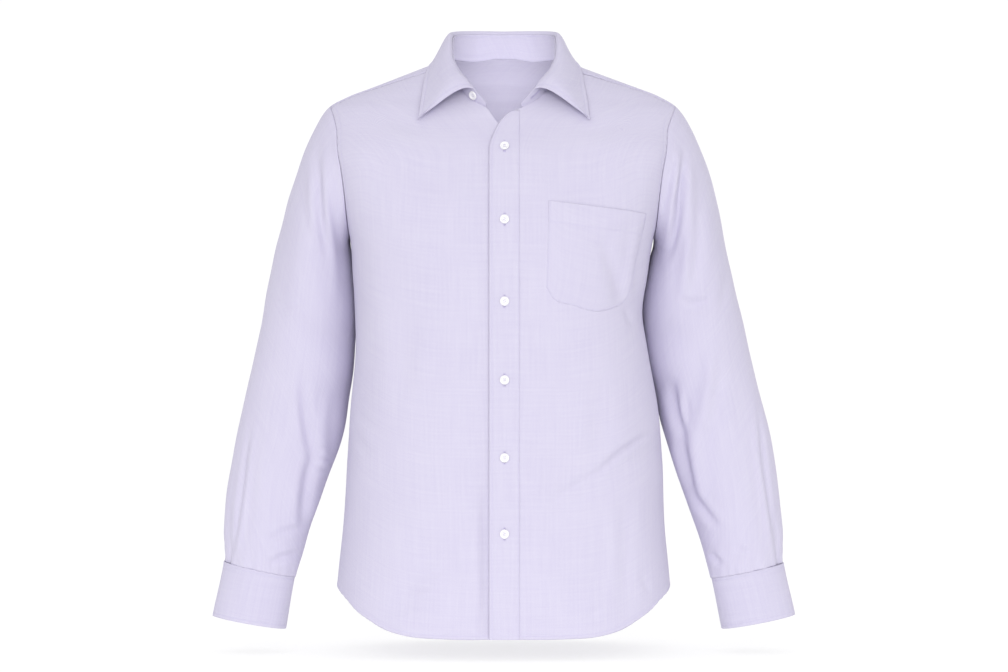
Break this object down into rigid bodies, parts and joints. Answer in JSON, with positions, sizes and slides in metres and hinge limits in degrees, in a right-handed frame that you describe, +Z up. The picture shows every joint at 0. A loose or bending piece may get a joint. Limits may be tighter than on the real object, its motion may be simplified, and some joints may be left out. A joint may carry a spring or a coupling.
{
  "type": "long sleeve dress shirt",
  "caption": "Long sleeve dress shirt of smooth cloth walls, filled out as worn, with a button front, pointed collar, chest pocket and button cuffs.",
  "frame": {"origin": "middle of the wearer's neck, at the height where the shoulder line meets the collar's edge; the shirt is held there by the wearer", "axes": "+Z up, the front faces -Y, +X is the wearer's left"},
  "size_m": [0.7255, 0.2755, 0.7581],
  "materials": {
    "cloth": "matt lavender plain weave",
    "firm_cloth": "matt lavender plain weave, firm",
    "button": "white, glossy"
  },
  "bodies": {
    "root": {"front_left": "cloth", "front_right": "cloth", "back": "cloth", "yoke": "cloth", "front_placket": "cloth", "pocket": "cloth", "collar_stand": "firm_cloth", "collar_leaf": "firm_cloth", "sleeve_right": "cloth", "sleeve_left": "cloth", "sleeve_placket_right": "cloth", "sleeve_placket_left": "cloth", "cuff_right": "firm_cloth", "cuff_left": "firm_cloth", "button_front_1": "button", "button_front_2": "button", "button_front_3": "button", "button_front_4": "button", "button_front_5": "button", "button_front_6": "button", "button_collar": "button", "button_cuff_right": "button", "button_cuff_left": "button", "button_gauntlet_right": "button", "button_gauntlet_left": "button"}
  },
  "joints": []
}
